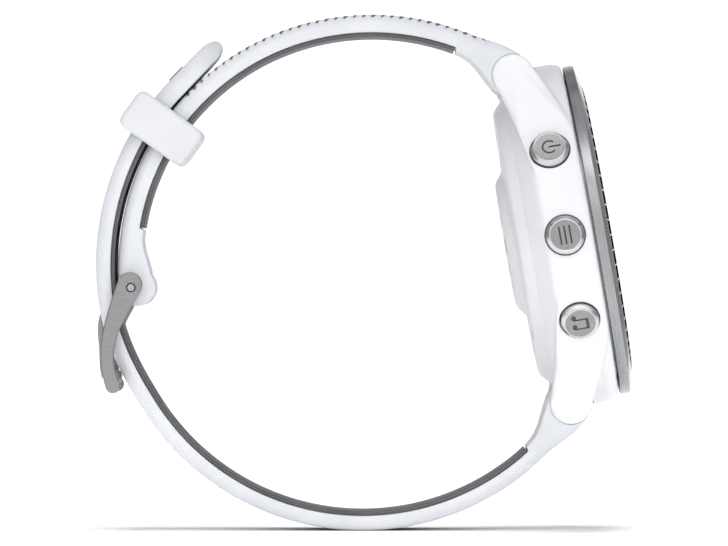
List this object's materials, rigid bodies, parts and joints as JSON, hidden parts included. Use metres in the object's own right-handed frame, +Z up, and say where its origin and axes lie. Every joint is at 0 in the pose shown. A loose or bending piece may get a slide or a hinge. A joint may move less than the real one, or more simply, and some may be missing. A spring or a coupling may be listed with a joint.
{
  "type": "gps running watch",
  "caption": "Round GPS running watch head on a buckled two-piece silicone strap, with side buttons, optical sensor, keeper loop and pin buckle.",
  "frame": {"origin": "under the middle of the buckled watch, on the surface it stands on", "axes": "+X from the buckle towards the face, +Y from 9 o'clock to 3 o'clock across the strap, +Z up"},
  "size_m": [0.0757, 0.0493, 0.0727],
  "materials": {
    "case_white": "satin moulded fibre-reinforced polymer",
    "back_white": "satin moulded polymer, cool grey-white",
    "bezel_metal": "brushed round the ring, polished chamfer",
    "button_metal": "turned face with a polished rim",
    "buckle_metal": "satin with polished edges",
    "pin_steel": "turned steel",
    "black_rubber": "moulded sealing rubber",
    "cover_glass": "polished flat glass with a black rim",
    "display_black": "black",
    "antenna_black": "moulded black carrier",
    "board_green": "solder mask",
    "battery_foil": "foil pouch",
    "motor_steel": "drawn can",
    "beeper_brass": "thin disc",
    "sensor_black": "polished dark window",
    "contact_gold": "gold plated",
    "strap_white": "soft-touch moulded silicone",
    "keeper_white": "soft-touch moulded silicone",
    "liner_grey": "matt moulded silicone"
  },
  "bodies": {
    "case": {"case_middle": "case_white", "bezel": "bezel_metal", "bezel_gasket": "black_rubber", "glass": "cover_glass", "display_module": "display_black", "gps_antenna": "antenna_black", "main_board": "board_green", "battery": "battery_foil", "vibration_motor": "motor_steel", "beeper": "beeper_brass", "back_cover": "back_white", "back_screw_1": "pin_steel", "back_screw_2": "pin_steel", "back_screw_3": "pin_steel", "back_screw_4": "pin_steel", "charging_contact_1": "contact_gold", "charging_contact_2": "contact_gold", "charging_contact_3": "contact_gold", "charging_contact_4": "contact_gold", "sensor_window": "sensor_black", "sensor_board": "board_green", "spring_bar_upper": "pin_steel", "spring_bar_lower": "pin_steel", "button_seal_light": "black_rubber", "button_switch_light": "display_black", "button_seal_menu": "black_rubber", "button_switch_menu": "display_black", "button_seal_music": "black_rubber", "button_switch_music": "display_black", "button_seal_start": "black_rubber", "button_switch_start": "display_black", "button_seal_back": "black_rubber", "button_switch_back": "display_black"},
    "button_light": {"button_light": "button_metal"},
    "button_menu": {"button_menu": "button_metal"},
    "button_music": {"button_music": "button_metal"},
    "button_start": {"button_start": "button_metal"},
    "button_back": {"button_back": "button_metal"},
    "upper_strap": {"upper_strap": "strap_white", "upper_liner": "liner_grey", "buckle_pin": "pin_steel"},
    "lower_strap": {"lower_strap": "strap_white", "lower_liner": "liner_grey"},
    "keeper": {"keeper": "keeper_white"},
    "buckle_frame": {"buckle_frame": "buckle_metal"},
    "buckle_tongue": {"buckle_tongue": "buckle_metal"},
    "quick_release_upper": {"quick_release_upper": "pin_steel"},
    "quick_release_lower": {"quick_release_lower": "pin_steel"}
  },
  "joints": [
    {"name": "button_light_press", "type": "slide", "parent": "case", "child": "button_light", "axis": [0.0868, 0.866, -0.4924], "range_m": [0, 0.0005], "stiffness_N_per_m": 600},
    {"name": "button_menu_press", "type": "slide", "parent": "case", "child": "button_menu", "axis": [0, 1, 0], "range_m": [0, 0.0005], "stiffness_N_per_m": 600},
    {"name": "button_music_press", "type": "slide", "parent": "case", "child": "button_music", "axis": [-0.0868, 0.866, 0.4924], "range_m": [0, 0.0005], "stiffness_N_per_m": 600},
    {"name": "button_start_press", "type": "slide", "parent": "case", "child": "button_start", "axis": [0.0868, -0.866, -0.4924], "range_m": [0, 0.0005], "stiffness_N_per_m": 600},
    {"name": "button_back_press", "type": "slide", "parent": "case", "child": "button_back", "axis": [-0.0868, -0.866, 0.4924], "range_m": [0, 0.0005], "stiffness_N_per_m": 600},
    {"name": "upper_strap_swing", "type": "hinge", "parent": "case", "child": "upper_strap", "pos_m": [0.02066, 0, 0.06406], "axis": [0, 1, 0], "range_deg": [0, 70], "deforming": ["lower_strap", "lower_liner", "upper_strap", "upper_liner"]},
    {"name": "lower_strap_swing", "type": "hinge", "parent": "case", "child": "lower_strap", "pos_m": [0.02878, 0, 0.01797], "axis": [0, -1, 0], "range_deg": [0, 70]},
    {"name": "keeper_travel", "type": "hinge", "parent": "upper_strap", "child": "keeper", "pos_m": [-0.00047, 0, 0.03626], "axis": [0, -1, 0], "range_deg": [0, 12]},
    {"name": "buckle_frame_swing", "type": "hinge", "parent": "upper_strap", "child": "buckle_frame", "pos_m": [-0.03303, 0, 0.03421], "axis": [0, 1, 0], "range_deg": [0, 50]},
    {"name": "buckle_tongue_lift", "type": "hinge", "parent": "buckle_frame", "child": "buckle_tongue", "pos_m": [-0.03303, 0, 0.03421], "axis": [0, 1, 0], "range_deg": [0, 40]},
    {"name": "quick_release_upper_slide", "type": "slide", "parent": "upper_strap", "child": "quick_release_upper", "axis": [0, -1, 0], "range_m": [0, 0.0015], "stiffness_N_per_m": 300},
    {"name": "quick_release_lower_slide", "type": "slide", "parent": "lower_strap", "child": "quick_release_lower", "axis": [0, -1, 0], "range_m": [0, 0.0015], "stiffness_N_per_m": 300}
  ]
}
